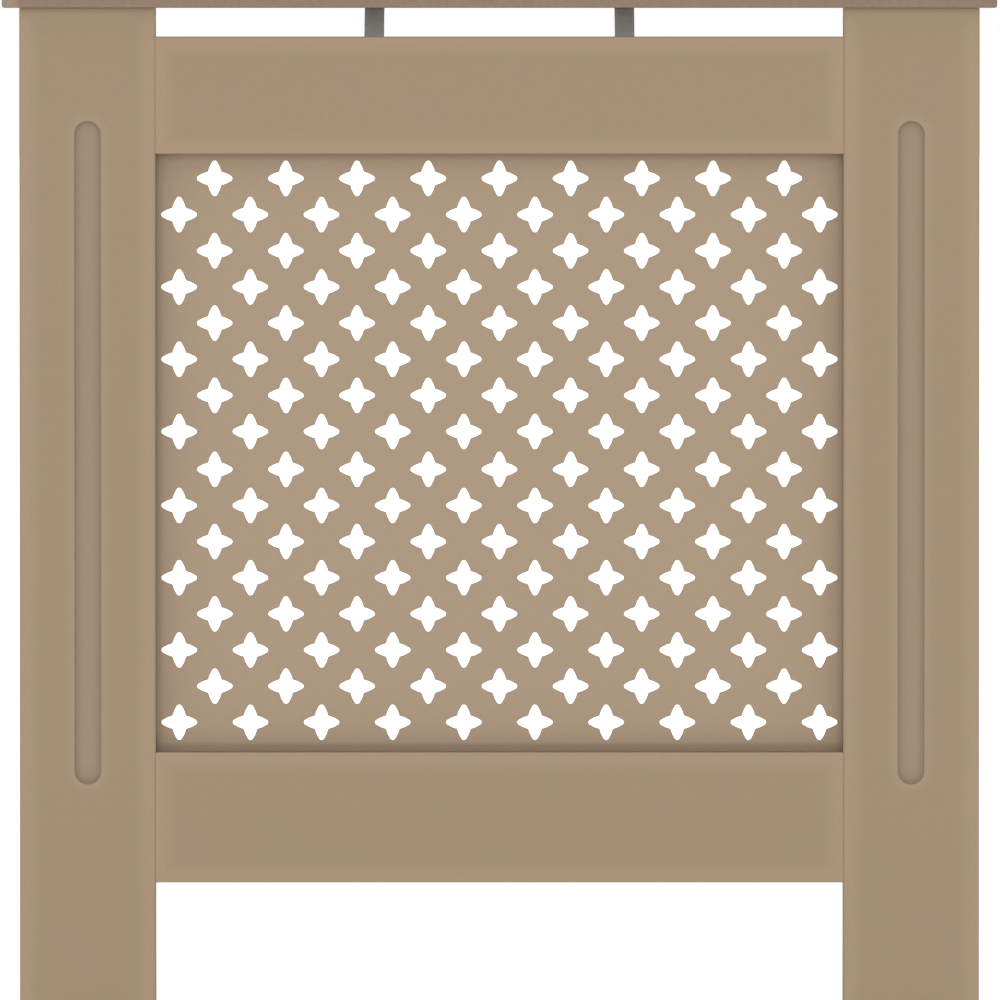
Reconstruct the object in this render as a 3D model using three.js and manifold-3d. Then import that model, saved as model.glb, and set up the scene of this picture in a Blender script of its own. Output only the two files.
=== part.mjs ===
// Radiator cover in raw MDF: two fluted stiles and two rails frame a pierced panel, side panels run back
// to the wall, and an overhanging board lies on top. Air enters under the bottom rail and leaves under the
// board. Millimetres. X runs along the width, Y from the front (-) to the wall (+), Z up. The origin is on
// the floor, under the middle of the board.

import * as THREE from "three";
import { mergeVertices } from "three/addons/utils/BufferGeometryUtils.js";
import Module from "manifold-3d";

const wasm = await Module();
wasm.setup();

// ---------------------------------------------------------------- driving dimensions

// Body and board
const bodyWidth = 753; // outer face to outer face of the stiles
const bodyDepth = 180; // front face of the stiles to the wall
const undersideHeight = 800; // floor to the underside of the top board
const boardThickness = 15;
const frontOverhang = 10;
const endOverhang = 13.5;
const boardEase = 2; // rounding of the board's edges

// Front frame
const stileWidth = 107;
const frameThickness = 15;
const airGap = 22.5; // board to top rail
const topRailHeight = 92;
const bottomRailHeight = 102.5;
const legHeight = 113.5; // floor to the underside of the bottom rail
const frameEase = 1; // broken edge of the stiles and rails

// Flute down the middle of each stile
const fluteWidth = 20;
const fluteLength = 520;
const fluteDepth = 4.5;
const fluteDrop = 89; // underside of the board to the flute's top
const fluteFloorRound = 1.5;

// Side panels
const sideThickness = 15;
const sideEase = 0.5;
const skirtingDepth = 20;
const skirtingHeight = 110;

// Pierced panel and the battens that hold it to the back of the frame
const grilleThickness = 5;
const grilleLap = 15; // how far the panel laps the frame on each side
const battenWidth = 12;
const battenDepth = 12;

// Cross-shaped holes
const holePitch = 55.9; // along a row
const rowPitch = 28.4;
const middleStep = 29.7; // between the two middle rows
const patternRise = 1.7; // middle of the pattern above the middle of the opening
const holeMargin = 3; // least distance from a hole to the edge of the opening
const holeReach = 14; // centre to the end of an arm
const waistCorner = 5.3; // corner between two arms, along both axes
const tipRadius = 2.35;
const flankRadius = 24;
const tipSteps = 2;
const flankSteps = 1;

// Steel straps from the top rail's back up to the board
const strapSpacing = 196.6;
const strapWidth = 15.5;
const strapThickness = 2;
const strapRailFlange = 34;
const strapRun = 44; // how far the sloped part reaches back
const strapBoardFlange = 32;
const strapBendDrop = 4; // lower bend below the rail's top edge
const strapBendRadius = 2;
const strapHoleInset = 8; // screw centre from the end or the bend of a flange

// Angle brackets
const bracketLeg = 30;
const bracketWidth = 18;
const bracketThickness = 2;
const bracketBendRadius = 1.5;
const bracketHoleReach = 18; // corner to screw centre
const stileBracketInset = 160; // from the floor, and from the underside of the board
const boardBracketSetback = 90; // from the back of the stiles
const wallBracketDrop = 80; // below the underside of the board

// Screws and dowels
const screwRadius = 1.9;
const screwLength = 14;
const screwTip = 4;
const screwHeadRadius = 3.7;
const screwHeadHeight = 2.2;
const pilotSpare = 0.6; // pilot hole deeper than the screw
const dowelRadius = 4;
const dowelLength = 30;
const dowelEdgeDistance = 22; // dowel centre from a rail's long edge
const boardDowelBite = 10; // part of a dowel that stands in the board

// Fits
const contactGap = 0.1; // hairline between faces that meet
const holeClearance = 0.15; // round a screw or a dowel, and past a dowel's ends
const roundSides = 8; // sides of a small round
const socketSides = 6; // sides of a blind hole in a board

// ---------------------------------------------------------------- places worked out from them

const boardLength = bodyWidth + 2 * endOverhang;
const boardDepth = bodyDepth + frontOverhang;
const wallY = boardDepth / 2;
const frameFrontY = wallY - bodyDepth;
const frameBackY = frameFrontY + frameThickness;
const standTop = undersideHeight - contactGap; // top of everything that stands under the board
const stileOuterX = bodyWidth / 2;
const stileInnerX = stileOuterX - stileWidth;
const sideInnerX = stileOuterX - sideThickness;
const topRailTop = undersideHeight - airGap;
const openingTop = topRailTop - topRailHeight;
const openingBottom = legHeight + bottomRailHeight;
const openingHeight = openingTop - openingBottom;
const openingMiddle = (openingTop + openingBottom) / 2;
const grilleHalfWidth = stileInnerX + grilleLap;
const grilleTop = openingTop + grilleLap;
const grilleBottom = openingBottom - grilleLap;
const grilleFrontY = frameBackY + contactGap;
const battenFrontY = grilleFrontY + grilleThickness + contactGap;
const frameMiddleY = frameFrontY + frameThickness / 2;
const stileBracketHeights = [stileBracketInset, undersideHeight - stileBracketInset];
const wallBracketHeight = undersideHeight - wallBracketDrop;

const sides = [
  { label: "left", sign: -1 },
  { label: "right", sign: 1 },
];

// ---------------------------------------------------------------- finishes

const rawMdf = { color: 0xa59078, roughness: 0.85, metalness: 0 };
const piercedMdf = { color: 0xae9a83, roughness: 0.85, metalness: 0 };
const batten = { color: 0xb59f83, roughness: 0.85, metalness: 0 };
const beech = { color: 0xc8a67a, roughness: 0.75, metalness: 0 };
const greySteel = { color: 0x777775, roughness: 0.45, metalness: 0.7 };
const zincPlate = { color: 0xa9aba8, roughness: 0.4, metalness: 0.85 };

// ---------------------------------------------------------------- shaping helpers

const alongX = new THREE.Vector3(1, 0, 0);
const alongY = new THREE.Vector3(0, 1, 0);
const alongZ = new THREE.Vector3(0, 0, 1);

// Where an outline's own two axes and its extrusion point to in the cover.
const frontView = new THREE.Matrix4().makeBasis(alongX, alongZ, alongY.clone().negate());
const sideView = new THREE.Matrix4().makeBasis(alongY, alongZ, alongX);
const planView = new THREE.Matrix4().identity();

function solidFrom(geometry) {
  const bare = geometry.clone();
  bare.deleteAttribute("normal");
  bare.deleteAttribute("uv");
  const merged = mergeVertices(bare, 1e-4);
  const mesh = new wasm.Mesh({
    numProp: 3,
    vertProperties: new Float32Array(merged.attributes.position.array),
    triVerts: new Uint32Array(merged.index.array),
  });
  return new wasm.Manifold(mesh);
}

function geometryFrom(solid) {
  const mesh = solid.getMesh();
  const geometry = new THREE.BufferGeometry();
  geometry.setAttribute("position", new THREE.BufferAttribute(mesh.vertProperties, 3));
  geometry.setIndex(new THREE.BufferAttribute(mesh.triVerts, 1));
  geometry.computeVertexNormals();
  return geometry;
}

function cutAway(geometry, cutters) {
  const cut = cutters.reduce((solid, cutter) => solid.subtract(solidFrom(cutter)), solidFrom(geometry));
  return geometryFrom(cut);
}

function rectangle(low, high) {
  return new THREE.Shape([
    new THREE.Vector2(low[0], low[1]),
    new THREE.Vector2(high[0], low[1]),
    new THREE.Vector2(high[0], high[1]),
    new THREE.Vector2(low[0], high[1]),
  ]);
}

// A plate with the given outline whose two faces have eased edges; the outline is the plate's full size.
function plate(shape, view, thickness, ease, easeSteps = 1) {
  const geometry = new THREE.ExtrudeGeometry(shape, {
    depth: thickness - 2 * ease,
    bevelEnabled: ease > 0,
    bevelThickness: ease,
    bevelSize: ease,
    bevelOffset: -ease,
    bevelSegments: easeSteps,
    curveSegments: 4,
  });
  geometry.translate(0, 0, ease);
  return geometry.applyMatrix4(view);
}

// A round bar from a point on a surface inwards along a direction, with a little sticking out.
function drill(at, toward, radius, depth, drillSides) {
  const standOut = 1;
  const length = depth + standOut;
  const bar = new THREE.CylinderGeometry(radius, radius, length, drillSides);
  bar.translate(0, length / 2 - standOut, 0);
  bar.applyQuaternion(new THREE.Quaternion().setFromUnitVectors(alongY, toward));
  return bar.translate(at.x, at.y, at.z);
}

// Radius of a hole with flat sides that still clears a round pin.
function clearanceRadius(pinRadius, holeSides) {
  return (pinRadius + holeClearance) / Math.cos(Math.PI / holeSides);
}

// Outline of a strip bent along a route of straight runs, with an arc at each bend.
function bentStrip(route, thickness, insideRadius) {
  const arcSteps = 2;
  const middleRadius = insideRadius + thickness / 2;
  const turned = (v, angle) => v.clone().rotateAround(new THREE.Vector2(), angle);
  const headings = route.slice(1).map((point, i) => point.clone().sub(route[i]).normalize());
  const line = [{ point: route[0], heading: headings[0] }];
  for (let i = 1; i < headings.length; i++) {
    const turn = Math.atan2(headings[i - 1].cross(headings[i]), headings[i - 1].dot(headings[i]));
    const hand = Math.sign(turn);
    const back = middleRadius * Math.tan(Math.abs(turn) / 2);
    const start = route[i].clone().addScaledVector(headings[i - 1], -back);
    const toCentre = turned(headings[i - 1], (hand * Math.PI) / 2).multiplyScalar(middleRadius);
    const centre = start.clone().add(toCentre);
    for (let step = 0; step <= arcSteps; step++) {
      const angle = (turn * step) / arcSteps;
      const point = centre.clone().sub(turned(toCentre, angle));
      line.push({ point, heading: turned(headings[i - 1], angle) });
    }
  }
  line.push({ point: route[route.length - 1], heading: headings[headings.length - 1] });
  const offset = ({ point, heading }, distance) =>
    point.clone().addScaledVector(turned(heading, Math.PI / 2), distance);
  const right = line.map((station) => offset(station, -thickness / 2));
  const left = line.map((station) => offset(station, thickness / 2)).reverse();
  return new THREE.Shape([...right, ...left]);
}

// ---------------------------------------------------------------- the cover and its list of fixings

const cover = new THREE.Group();

function addPiece(name, geometry, finish) {
  const mesh = new THREE.Mesh(geometry, new THREE.MeshStandardMaterial(finish));
  mesh.name = name;
  cover.add(mesh);
  return mesh;
}

const strapX = strapSpacing / 2;
const strapMiddleY = frameBackY + contactGap + strapThickness / 2;
const strapLowerBend = topRailTop - strapBendDrop;
const strapUpperBendY = strapMiddleY + strapRun;
const strapHoles = {
  rail: [strapLowerBend - strapHoleInset, strapLowerBend - strapRailFlange + strapHoleInset],
  board: [strapUpperBendY + strapHoleInset, strapUpperBendY + strapBoardFlange - strapHoleInset],
};

const boardBracketY = frameBackY + boardBracketSetback;

// Each screw: the board it bites into, the point on that board's face, the way it is driven, and the
// thickness of metal between its head and the board.
const fixings = [];

function addFixing(name, board, at, toward, metal) {
  fixings.push({ name, board, at: new THREE.Vector3(...at), toward, metal });
}

for (const { label, sign } of sides) {
  const outward = alongX.clone().multiplyScalar(sign);
  const forward = alongY.clone().negate();
  strapHoles.rail.forEach((z, i) => {
    const at = [sign * strapX, frameBackY, z];
    addFixing(`screw_strap_rail_${label}_${i + 1}`, "top_rail", at, forward, strapThickness);
  });
  strapHoles.board.forEach((y, i) => {
    const at = [sign * strapX, y, undersideHeight];
    addFixing(`screw_strap_board_${label}_${i + 1}`, "top_board", at, alongZ, strapThickness);
  });
  stileBracketHeights.forEach((z, i) => {
    const onStile = [sign * (sideInnerX - bracketHoleReach), frameBackY, z];
    const onSide = [sign * sideInnerX, frameBackY + bracketHoleReach, z];
    addFixing(`screw_stile_${label}_${i + 1}`, `${label}_stile`, onStile, forward, bracketThickness);
    addFixing(`screw_side_${label}_${i + 1}`, `${label}_side_panel`, onSide, outward, bracketThickness);
  });
  const onBoard = [sign * (sideInnerX - bracketHoleReach), boardBracketY, undersideHeight];
  const underBoard = [sign * sideInnerX, boardBracketY, undersideHeight - bracketHoleReach];
  const atWall = [sign * sideInnerX, wallY - bracketHoleReach, wallBracketHeight];
  addFixing(`screw_board_${label}`, "top_board", onBoard, alongZ, bracketThickness);
  addFixing(`screw_side_${label}_top`, `${label}_side_panel`, underBoard, outward, bracketThickness);
  addFixing(`screw_side_${label}_wall`, `${label}_side_panel`, atWall, outward, bracketThickness);
}

// Each dowel: the two boards it joins, the point where it crosses their joint, the way from the first board
// to the second, and how far it stands in the second.
const dowels = [];

function addDowel(name, boards, at, toward, bite) {
  dowels.push({ name, boards, at: new THREE.Vector3(...at), toward, bite });
}

for (const { label, sign } of sides) {
  const outward = alongX.clone().multiplyScalar(sign);
  const rails = [
    { rail: "top_rail", low: openingTop, high: topRailTop },
    { rail: "bottom_rail", low: legHeight, high: openingBottom },
  ];
  for (const { rail, low, high } of rails) {
    const joined = [rail, `${label}_stile`];
    const lower = [sign * stileInnerX, frameMiddleY, low + dowelEdgeDistance];
    const upper = [sign * stileInnerX, frameMiddleY, high - dowelEdgeDistance];
    addDowel(`dowel_${rail}_${label}_lower`, joined, lower, outward, dowelLength / 2);
    addDowel(`dowel_${rail}_${label}_upper`, joined, upper, outward, dowelLength / 2);
  }
  const stileTop = [sign * (stileOuterX - stileWidth / 2), frameMiddleY, undersideHeight];
  addDowel(`dowel_board_${label}`, [`${label}_stile`, "top_board"], stileTop, alongZ, boardDowelBite);
}

// Pilot holes and dowel holes that belong in one board.
function holesIn(board) {
  const pilotRadius = clearanceRadius(screwRadius, socketSides);
  const socketRadius = clearanceRadius(dowelRadius, socketSides);
  const pilots = fixings
    .filter((fixing) => fixing.board === board)
    .map(({ at, toward, metal }) => {
      const depth = screwLength - metal - 2 * contactGap + pilotSpare;
      return drill(at, toward, pilotRadius, depth, socketSides);
    });
  const sockets = dowels
    .filter((dowel) => dowel.boards.includes(board))
    .map(({ boards, at, toward, bite }) => {
      const isSecond = boards[1] === board;
      const depth = (isSecond ? bite : dowelLength - bite) + holeClearance;
      return drill(at, isSecond ? toward : toward.clone().negate(), socketRadius, depth, socketSides);
    });
  return [...pilots, ...sockets];
}

// ---------------------------------------------------------------- boards

function topBoard() {
  const outline = rectangle([-boardLength / 2, -boardDepth / 2], [boardLength / 2, boardDepth / 2]);
  const board = plate(outline, planView, boardThickness, boardEase, 2);
  board.translate(0, 0, undersideHeight);
  return cutAway(board, holesIn("top_board"));
}

// The flute's cutter: a slot with round ends whose floor meets its walls in a small round.
function fluteCutter(middleX) {
  const radius = fluteWidth / 2;
  const top = undersideHeight - fluteDrop - radius;
  const bottom = top - fluteLength + fluteWidth;
  const slot = new THREE.Shape();
  slot.absarc(middleX, bottom, radius, Math.PI, 2 * Math.PI);
  slot.absarc(middleX, top, radius, 0, Math.PI);
  const proud = 2 * fluteFloorRound; // keeps the cutter's own front rounding clear of the stile
  const cutter = plate(slot, frontView, fluteDepth + proud, fluteFloorRound);
  return cutter.translate(0, frameFrontY + fluteDepth, 0);
}

function stile(label, sign) {
  const xs = [sign * stileOuterX, sign * stileInnerX].sort((a, b) => a - b);
  const outline = rectangle([xs[0], 0], [xs[1], standTop]);
  const blank = plate(outline, frontView, frameThickness, frameEase);
  blank.translate(0, frameBackY, 0);
  const middleX = sign * (stileOuterX - stileWidth / 2);
  return cutAway(blank, [fluteCutter(middleX), ...holesIn(`${label}_stile`)]);
}

function rail(name, low, high) {
  const end = stileInnerX - contactGap;
  const blank = plate(rectangle([-end, low], [end, high]), frontView, frameThickness, frameEase);
  blank.translate(0, frameBackY, 0);
  return cutAway(blank, holesIn(name));
}

// Side panel, cut out at its lower rear corner for the skirting board.
function sidePanel(label, sign) {
  const front = frameBackY + contactGap;
  const notch = wallY - skirtingDepth;
  const outline = new THREE.Shape([
    new THREE.Vector2(front, 0),
    new THREE.Vector2(notch, 0),
    new THREE.Vector2(notch, skirtingHeight),
    new THREE.Vector2(wallY, skirtingHeight),
    new THREE.Vector2(wallY, standTop),
    new THREE.Vector2(front, standTop),
  ]);
  const blank = plate(outline, sideView, sideThickness, sideEase);
  blank.translate(sign > 0 ? sideInnerX : -stileOuterX, 0, 0);
  return cutAway(blank, holesIn(`${label}_side_panel`));
}

addPiece("top_board", topBoard(), rawMdf);
for (const { label, sign } of sides) {
  addPiece(`${label}_stile`, stile(label, sign), rawMdf);
  addPiece(`${label}_side_panel`, sidePanel(label, sign), rawMdf);
}
addPiece("top_rail", rail("top_rail", openingTop, topRailTop), rawMdf);
addPiece("bottom_rail", rail("bottom_rail", legHeight, openingBottom), rawMdf);

// ---------------------------------------------------------------- pierced panel

// Centre of the large arc that forms the upper flank of an arm along +X. The arc passes through the waist
// corner and runs smoothly into the arm's round tip.
function flankCentre(tipCentre) {
  const corner = new THREE.Vector2(waistCorner, waistCorner);
  const toCorner = corner.clone().sub(tipCentre);
  const distance = toCorner.length();
  const reach = flankRadius - tipRadius;
  const along = (reach ** 2 - flankRadius ** 2 + distance ** 2) / (2 * distance);
  const aside = Math.sqrt(reach ** 2 - along ** 2);
  const direction = toCorner.normalize();
  const square = new THREE.Vector2(-direction.y, direction.x);
  return tipCentre.clone().addScaledVector(direction, along).addScaledVector(square, aside);
}

// One four-armed hole about the origin, anticlockwise.
function crossOutline() {
  const tipCentre = new THREE.Vector2(holeReach - tipRadius, 0);
  const centre = flankCentre(tipCentre);
  const tangentAngle = tipCentre.clone().sub(centre).angle();
  const cornerAngle = new THREE.Vector2(waistCorner, waistCorner).sub(centre).angle();
  const tip = new THREE.EllipseCurve(
    tipCentre.x, 0, tipRadius, tipRadius, -tangentAngle, tangentAngle, false,
  ).getPoints(tipSteps);
  const upperFlank = new THREE.EllipseCurve(
    centre.x, centre.y, flankRadius, flankRadius, tangentAngle, cornerAngle, false,
  ).getPoints(flankSteps);
  const lowerFlank = upperFlank.map((point) => new THREE.Vector2(point.x, -point.y)).reverse();
  const arm = [...lowerFlank.slice(0, -1), ...tip, ...upperFlank.slice(1, -1)];
  const quarterTurns = [0, 1, 2, 3].map((quarter) => (quarter * Math.PI) / 2);
  return quarterTurns.flatMap((angle) =>
    arm.map((point) => point.clone().rotateAround(new THREE.Vector2(), angle)),
  );
}

// Hole centres: rows fill the opening up and down from its middle, and alternate rows are shifted by half
// a pitch.
function holeCentres() {
  const patternMiddle = openingMiddle + patternRise;
  const halfRoom = openingHeight / 2 - patternRise - holeMargin - holeReach - middleStep / 2;
  const rowsInHalf = Math.floor(halfRoom / rowPitch) + 1;
  const widestRow = Math.floor((2 * (stileInnerX - holeMargin - holeReach)) / holePitch) + 1;
  const centres = [];
  for (let row = 0; row < 2 * rowsInHalf; row++) {
    const fromMiddle = row - rowsInHalf;
    const upper = fromMiddle >= 0;
    const steps = upper ? fromMiddle : -fromMiddle - 1;
    const height = middleStep / 2 + steps * rowPitch;
    const z = patternMiddle + (upper ? height : -height);
    const count = row % 2 === 0 ? widestRow : widestRow - 1;
    for (let column = 0; column < count; column++) {
      centres.push(new THREE.Vector2((column - (count - 1) / 2) * holePitch, z));
    }
  }
  return centres;
}

function grillePanel() {
  const sheet = rectangle([-grilleHalfWidth, grilleBottom], [grilleHalfWidth, grilleTop]);
  const cross = crossOutline();
  sheet.holes = holeCentres().map(
    (centre) => new THREE.Path(cross.map((point) => point.clone().add(centre))),
  );
  const panel = plate(sheet, frontView, grilleThickness, 0);
  return panel.translate(0, grilleFrontY + grilleThickness, 0);
}

addPiece("grille_panel", grillePanel(), piercedMdf);

// Battens: the long ones run along the panel's top and bottom edges, and the short ones stand between them.
function addBatten(name, length, upright, x, z) {
  const [width, height] = upright ? [battenWidth, length] : [length, battenWidth];
  const bar = addPiece(name, new THREE.BoxGeometry(width, battenDepth, height), batten);
  bar.position.set(x, battenFrontY + battenDepth / 2, z);
}

const uprightLength = grilleTop - grilleBottom - 2 * (battenWidth + contactGap);
addBatten("grille_batten_top", 2 * grilleHalfWidth, false, 0, grilleTop - battenWidth / 2);
addBatten("grille_batten_bottom", 2 * grilleHalfWidth, false, 0, grilleBottom + battenWidth / 2);
for (const { label, sign } of sides) {
  const x = sign * (grilleHalfWidth - battenWidth / 2);
  addBatten(`grille_batten_${label}`, uprightLength, true, x, openingMiddle);
}

// ---------------------------------------------------------------- straps and angle brackets

// Strap: down the rail's back, sloping up and back through the air gap, then flat under the board.
function strap(sign) {
  const underBoard = undersideHeight - contactGap - strapThickness / 2;
  const route = [
    new THREE.Vector2(strapMiddleY, strapLowerBend - strapRailFlange),
    new THREE.Vector2(strapMiddleY, strapLowerBend),
    new THREE.Vector2(strapUpperBendY, underBoard),
    new THREE.Vector2(strapUpperBendY + strapBoardFlange, underBoard),
  ];
  const blank = plate(bentStrip(route, strapThickness, strapBendRadius), sideView, strapWidth, 0);
  blank.translate(sign * strapX - strapWidth / 2, 0, 0);
  const radius = clearanceRadius(screwRadius, roundSides);
  const depth = 2 * strapThickness;
  const down = alongZ.clone().negate();
  const railHoles = strapHoles.rail.map((z) =>
    drill(new THREE.Vector3(sign * strapX, frameBackY, z), alongY, radius, depth, roundSides),
  );
  const boardHoles = strapHoles.board.map((y) =>
    drill(new THREE.Vector3(sign * strapX, y, undersideHeight), down, radius, depth, roundSides),
  );
  return cutAway(blank, [...railHoles, ...boardHoles]);
}

for (const { label, sign } of sides) {
  addPiece(`${label}_strap`, strap(sign), greySteel);
}

// Angle bracket about its outer corner: one leg lies along +X and the other along +Y, each against a face.
function angleBracket() {
  const middle = contactGap + bracketThickness / 2;
  const route = [
    new THREE.Vector2(bracketLeg, middle),
    new THREE.Vector2(middle, middle),
    new THREE.Vector2(middle, bracketLeg),
  ];
  const blank = plate(bentStrip(route, bracketThickness, bracketBendRadius), planView, bracketWidth, 0);
  blank.translate(0, 0, -bracketWidth / 2);
  const radius = clearanceRadius(screwRadius, roundSides);
  const depth = 2 * bracketThickness;
  return cutAway(blank, [
    drill(new THREE.Vector3(bracketHoleReach, 0, 0), alongY, radius, depth, roundSides),
    drill(new THREE.Vector3(0, bracketHoleReach, 0), alongX, radius, depth, roundSides),
  ]);
}

// Sets a bracket in a corner, with its two legs along the given directions.
function addBracket(name, corner, firstLeg, secondLeg) {
  const bracket = addPiece(name, angleBracket(), zincPlate);
  const axis = new THREE.Vector3().crossVectors(firstLeg, secondLeg);
  bracket.setRotationFromMatrix(new THREE.Matrix4().makeBasis(firstLeg, secondLeg, axis));
  bracket.position.set(...corner);
}

for (const { label, sign } of sides) {
  const inward = alongX.clone().multiplyScalar(-sign);
  const forward = alongY.clone().negate();
  const down = alongZ.clone().negate();
  const cornerX = sign * sideInnerX;
  stileBracketHeights.forEach((z, i) => {
    addBracket(`stile_bracket_${label}_${i + 1}`, [cornerX, frameBackY, z], inward, alongY);
  });
  addBracket(`board_bracket_${label}`, [cornerX, boardBracketY, undersideHeight], inward, down);
  // The wall bracket's wall leg is flush with the wall, so its corner lies a hairline beyond.
  addBracket(`wall_bracket_${label}`, [cornerX, wallY + contactGap, wallBracketHeight], inward, forward);
}

// ---------------------------------------------------------------- screws and dowels

// Screw with its head's bearing face at the origin, driven along -Y.
function screwGeometry() {
  const profile = [
    new THREE.Vector2(0, -screwLength),
    new THREE.Vector2(screwRadius, -screwLength + screwTip),
    new THREE.Vector2(screwRadius, 0),
    new THREE.Vector2(screwHeadRadius, 0),
    new THREE.Vector2(screwHeadRadius * 0.75, screwHeadHeight),
    new THREE.Vector2(0, screwHeadHeight),
  ];
  return new THREE.LatheGeometry(profile, roundSides);
}

for (const { name, at, toward, metal } of fixings) {
  const screw = addPiece(name, screwGeometry(), zincPlate);
  screw.quaternion.setFromUnitVectors(alongY.clone().negate(), toward);
  screw.position.copy(at).addScaledVector(toward, -(metal + 2 * contactGap));
}

for (const { name, at, toward, bite } of dowels) {
  const peg = new THREE.CylinderGeometry(dowelRadius, dowelRadius, dowelLength, roundSides);
  const dowel = addPiece(name, peg, beech);
  dowel.quaternion.setFromUnitVectors(alongY, toward);
  dowel.position.copy(at).addScaledVector(toward, bite - dowelLength / 2);
}

export default cover;
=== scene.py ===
# Radiator cover in raw MDF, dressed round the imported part. Metres, in the part's own frame.
import math

import bmesh
import bpy
from mathutils import Matrix, Vector


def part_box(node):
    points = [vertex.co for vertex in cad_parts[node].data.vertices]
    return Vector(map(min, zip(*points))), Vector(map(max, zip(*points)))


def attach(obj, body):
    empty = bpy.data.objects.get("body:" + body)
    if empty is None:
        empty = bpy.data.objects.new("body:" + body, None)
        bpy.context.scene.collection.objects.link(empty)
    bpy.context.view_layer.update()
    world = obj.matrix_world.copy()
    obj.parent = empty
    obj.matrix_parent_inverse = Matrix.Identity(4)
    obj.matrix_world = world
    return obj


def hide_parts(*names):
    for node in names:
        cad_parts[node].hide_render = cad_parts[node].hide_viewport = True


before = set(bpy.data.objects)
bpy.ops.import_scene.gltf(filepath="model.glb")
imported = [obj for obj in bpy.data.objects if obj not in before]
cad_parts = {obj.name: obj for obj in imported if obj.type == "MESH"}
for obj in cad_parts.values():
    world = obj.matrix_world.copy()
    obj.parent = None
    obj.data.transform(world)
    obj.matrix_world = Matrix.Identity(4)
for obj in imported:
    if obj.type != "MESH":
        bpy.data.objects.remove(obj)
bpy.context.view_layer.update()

MM = 0.001

# ---------------------------------------------------------------- sizes

CAMERA_LENS = 642.7
CAMERA_SENSOR = 36
CAMERA_SPOT = (0.00044, -14.085, 0.8434)
CAMERA_DIP = 1.7566  # degrees below level
CAMERA_REACH = 200
FLOOR_REACH = 60
FLOOR_DROP = 0.2 * MM  # keeps the floor clear of the feet

WELD = 0.001 * MM  # points nearer than this become one
BOARD_EASE = 2 * MM  # rounding of the top board
FRAME_EASE = 0.9 * MM  # stiles and rails
PANEL_EASE = 0.6 * MM  # side panels and battens
EASE_STEPS = 4
HOLD = 0.3 * MM  # flat strip beside each rounding, which keeps its shading off the face
RIM = 18 * MM  # paler band inside each board's edges
BATTEN_RIM = 3 * MM
ARRIS_CUT = 0.3  # how far a rounding takes the sawn edge's tone
BOARD_ARRIS_CUT = 0.95
SEAT = 0.1 * MM  # how far apart the solids stand where boards are pressed together
JOINT_LEAN = 0.3 * MM  # how much a stile is narrower at its front than at its back, and a rail longer

# Shares of the rounding across the face and down the edge, and the edge's lean.
FULL_EASE = (1, 1, 0)
RAIL_END_EASE = (0.2, 0.2, -JOINT_LEAN)
STILE_INNER_EASE = (1.7, 0.5, JOINT_LEAN)
STILE_TOP_EASE = (0.4, 0.4, 0)

FLUTE_WIDTH = 20 * MM
FLUTE_FOOT = 191 * MM
FLUTE_HEAD = 711 * MM
FLUTE_DEPTH = 5.8 * MM
FLUTE_FLOOR_ROUND = 1.2 * MM
FLUTE_ARRIS = 1.4 * MM
FLUTE_STEPS = 20
FLUTE_HOLD = 2 * MM  # from each round end to the extra points on the straight sides
FLUTE_RIM = 8 * MM
FLUTE_LIP = 0.6  # how pale the flute's lip is beside the board's own rim

SKIRTING_DEPTH = 20 * MM
SKIRTING_HEIGHT = 110 * MM

HOLE_PITCH = 55.9 * MM
ROW_PITCH = 28.4 * MM
MIDDLE_STEP = 29.7 * MM  # between the two middle rows
PATTERN_RISE = 1.7 * MM  # of the pattern's middle above the panel's
LONG_ROW = 10
ROWS = 16
HOLE_REACH = 14 * MM
WAIST_CORNER = 5.3 * MM
TIP_RADIUS = 2.35 * MM
FLANK_RADIUS = 24 * MM
HOLE_EASE = 0.3 * MM
TIP_STEPS = 6
FLANK_STEPS = 2
PIERCING_WELD = 0.01 * MM

STRIP_EASE = 0.35 * MM
STRIP_EASE_STEPS = 2
BEND_STEPS = 8
STRAP_WIDTH = 15.5 * MM
STRAP_THICKNESS = 2 * MM
STRAP_BEND = 3 * MM
STRAP_ROUTE = [(-68.9, 739.5), (-68.9, 773.5), (-24.9, 798.9), (7.1, 798.9)]  # y and z, millimetres
BRACKET_WIDTH = 18 * MM
BRACKET_LEG = 30 * MM
BRACKET_THICKNESS = 2 * MM
BRACKET_BEND = 2.5 * MM
BRACKET_HOLE_REACH = 18 * MM
BRACKET_HOLE_RADIUS = 2.1 * MM
BORE_SIDES = 28

SCREW_HEAD_HEIGHT = 2.2 * MM
SCREW_HEAD_RADIUS = 3.7 * MM
SCREW_SHANK_RADIUS = 1.9 * MM
SCREW_TIP_RADIUS = 0.15 * MM
RECESS_SPAN = 4.2 * MM
RECESS_SLOT = 0.9 * MM
RECESS_DEPTH = 1.1 * MM
HEAD_FULLNESS = -0.45  # power that pushes the head's sides out
HEAD_CROWN = 0.8  # power that flattens its top
HEAD_WELD = 0.002 * MM
SCREW_SEED = 4

PIN_RADIUS = 1.1 * MM
PIN_PROUD = 0.25 * MM
PIN_SPACING = 95 * MM


# ---------------------------------------------------------------- camera, light and floor

def set_camera():
    """Looks at the front from far off, just above the board and slightly down, at the photograph's angle."""
    data = bpy.data.cameras.new("camera")
    data.lens = CAMERA_LENS
    data.sensor_width = CAMERA_SENSOR
    data.clip_end = CAMERA_REACH
    camera = bpy.data.objects.new("camera", data)
    camera.location = CAMERA_SPOT
    camera.rotation_euler = (math.radians(90 - CAMERA_DIP), 0, 0)
    bpy.context.scene.collection.objects.link(camera)
    bpy.context.scene.camera = camera


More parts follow.
